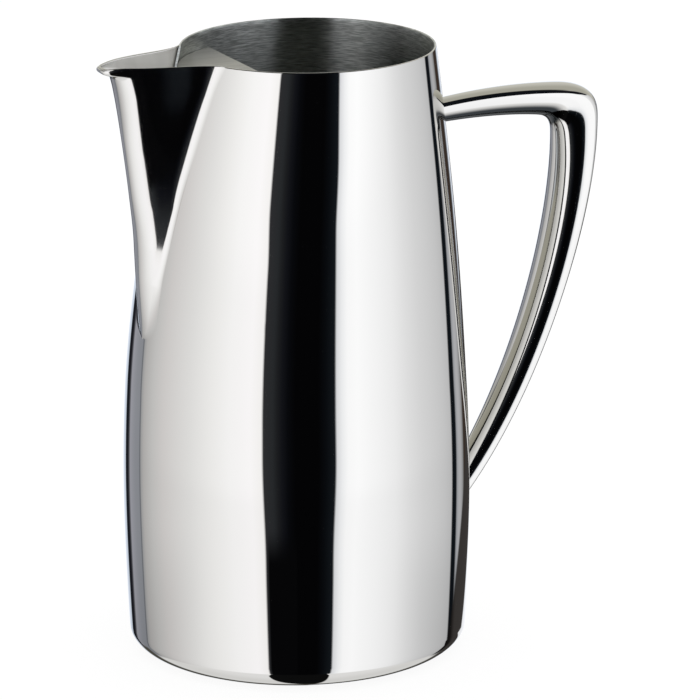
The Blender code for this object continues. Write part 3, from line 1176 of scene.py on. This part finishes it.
def with_right_corner(nodes, way, colour):
    """Adds the dark corner and the pale wedge low on the far right."""
    slope = nodes.less(way.height, nodes.product(way.azimuth, CORNER_SLOPE))
    corner = nodes.product(
        nodes.ramp(way.azimuth, *CORNER_LEFT),
        nodes.ramp(slope, *CORNER_TOP),
        nodes.ramp(way.height, *CORNER_FOOT),
    )
    near, far = srgb(*CORNER_NEAR_TONE), srgb(*CORNER_FAR_TONE)
    shade = nodes.mix(nodes.ramp(way.azimuth, *CORNER_FADE), near, far)
    colour = nodes.mix(corner, colour, shade)
    rise = nodes.less(way.height, WEDGE_HEIGHT)
    above, below = (nodes.product(rise, slope) for slope in WEDGE_SLOPES)
    left = nodes.less(way.azimuth, nodes.math("MAXIMUM", above, below))
    return nodes.mix(nodes.ramp(left, *WEDGE_LEFT), colour, srgb(*WEDGE_TONE))


def studio_world():
    """Plain white, except in reflections, which show the studio."""
    world = bpy.data.worlds.new("studio")
    bpy.context.scene.world = world
    world.use_nodes = True
    world.cycles.sampling_method = "NONE"
    world.node_tree.nodes.clear()
    nodes = Nodes(world.node_tree)
    way = looked_up(nodes)
    colour = panel_ring(nodes, way)
    for addition in (with_ceiling, with_ground, with_right_corner):
        colour = addition(nodes, way, colour)
    balance = tuple(1 / share for share in STEEL[:3])
    inputs = {0: colour, 1: balance}
    colour = nodes.add("ShaderNodeVectorMath", inputs, operation="MULTIPLY").outputs[0]
    pattern = nodes.add("ShaderNodeBackground", {"Color": colour, "Strength": 1.0})
    plain = nodes.add("ShaderNodeBackground", {"Color": (1, 1, 1, 1), "Strength": 1.0})
    glossy = nodes.add("ShaderNodeLightPath").outputs["Is Glossy Ray"]
    shaders = {0: glossy, 1: plain.outputs[0], 2: pattern.outputs[0]}
    both = nodes.add("ShaderNodeMixShader", shaders)
    nodes.add("ShaderNodeOutputWorld", {"Surface": both.outputs[0]})


def make_floor():
    """A wide pale floor, seen only from above and left out of the steel's reflections."""
    mesh = bpy.data.meshes.new("floor")
    turn = np.linspace(0, 2 * math.pi, FLOOR_SIDES, endpoint=False)
    points = [(FLOOR_RADIUS * math.cos(a), FLOOR_RADIUS * math.sin(a), -FLOOR_DROP) for a in turn]
    mesh.from_pydata(points, [], [list(range(len(points)))])
    floor = link("floor", mesh)
    material = bpy.data.materials.new("pale_floor")
    material.use_nodes = True
    nodes = Nodes(material.node_tree)
    shader = material.node_tree.nodes["Principled BSDF"]
    finish = {
        "Base Color": (0.15, 0.15, 0.15, 1),
        "Emission Color": (0.88, 0.88, 0.88, 1),
        "Emission Strength": 1.0,
        "Roughness": 0.9,
        "Specular IOR Level": 0.0,
    }
    for key, value in finish.items():
        nodes.put(value, shader.inputs[key])
    below = nodes.add("ShaderNodeNewGeometry").outputs["Backfacing"]
    clear = nodes.add("ShaderNodeBsdfTransparent")
    shaders = {0: below, 1: shader.outputs[0], 2: clear.outputs[0]}
    both = nodes.add("ShaderNodeMixShader", shaders)
    nodes.put(both.outputs[0], material.node_tree.nodes["Material Output"].inputs["Surface"])
    mesh.materials.append(material)
    floor.visible_glossy = False


def make_camera():
    """The camera, at the photograph's viewing angle."""
    data = bpy.data.cameras.new("camera")
    data.lens = CAMERA_LENS
    data.sensor_width = SENSOR_WIDTH
    data.clip_start, data.clip_end = CLIP_START, CLIP_END
    camera = link("camera", data)
    azimuth, elevation = math.radians(CAMERA_AZIMUTH), math.radians(CAMERA_ELEVATION)
    level = Vector((math.sin(azimuth), -math.cos(azimuth), 0))
    back = level * math.cos(elevation) + Vector((0, 0, math.sin(elevation)))
    aim = (cad_low + cad_high) / 2 + AIM_FROM_CENTRE
    turn = (-back).to_track_quat("-Z", "Y").to_matrix().to_4x4()
    roll = Matrix.Rotation(-math.radians(CAMERA_ROLL), 4, "Z")
    camera.matrix_world = Matrix.Translation(aim + back * CAMERA_DISTANCE) @ turn @ roll
    bpy.context.scene.camera = camera


def main():
    mirror = polished_steel("polished_steel_mirror", *MIRROR_POLISH)
    crown = polished_steel("polished_steel_crown", *CROWN_POLISH)
    grip = polished_steel("polished_steel_grip", *GRIP_POLISH)
    shade_arm(grip)
    pressed = polished_steel("polished_steel_spout", *SPOUT_POLISH)
    spun = brushed_steel("spun_base", SPUN_COLOUR, SPUN_ROUGHNESS, SPUN_STRETCH, round_lines=True)
    make_body(mirror, inside_steel())
    make_base(spun)
    make_spout(pressed, satin_steel("satin_spout", SPOUT_SATIN))
    make_guard(satin_steel("satin_plate", GUARD_SATIN))
    make_handle(crown, grip)
    studio_world()
    make_floor()
    make_camera()
    bpy.context.scene.view_settings.view_transform = "Standard"


main()
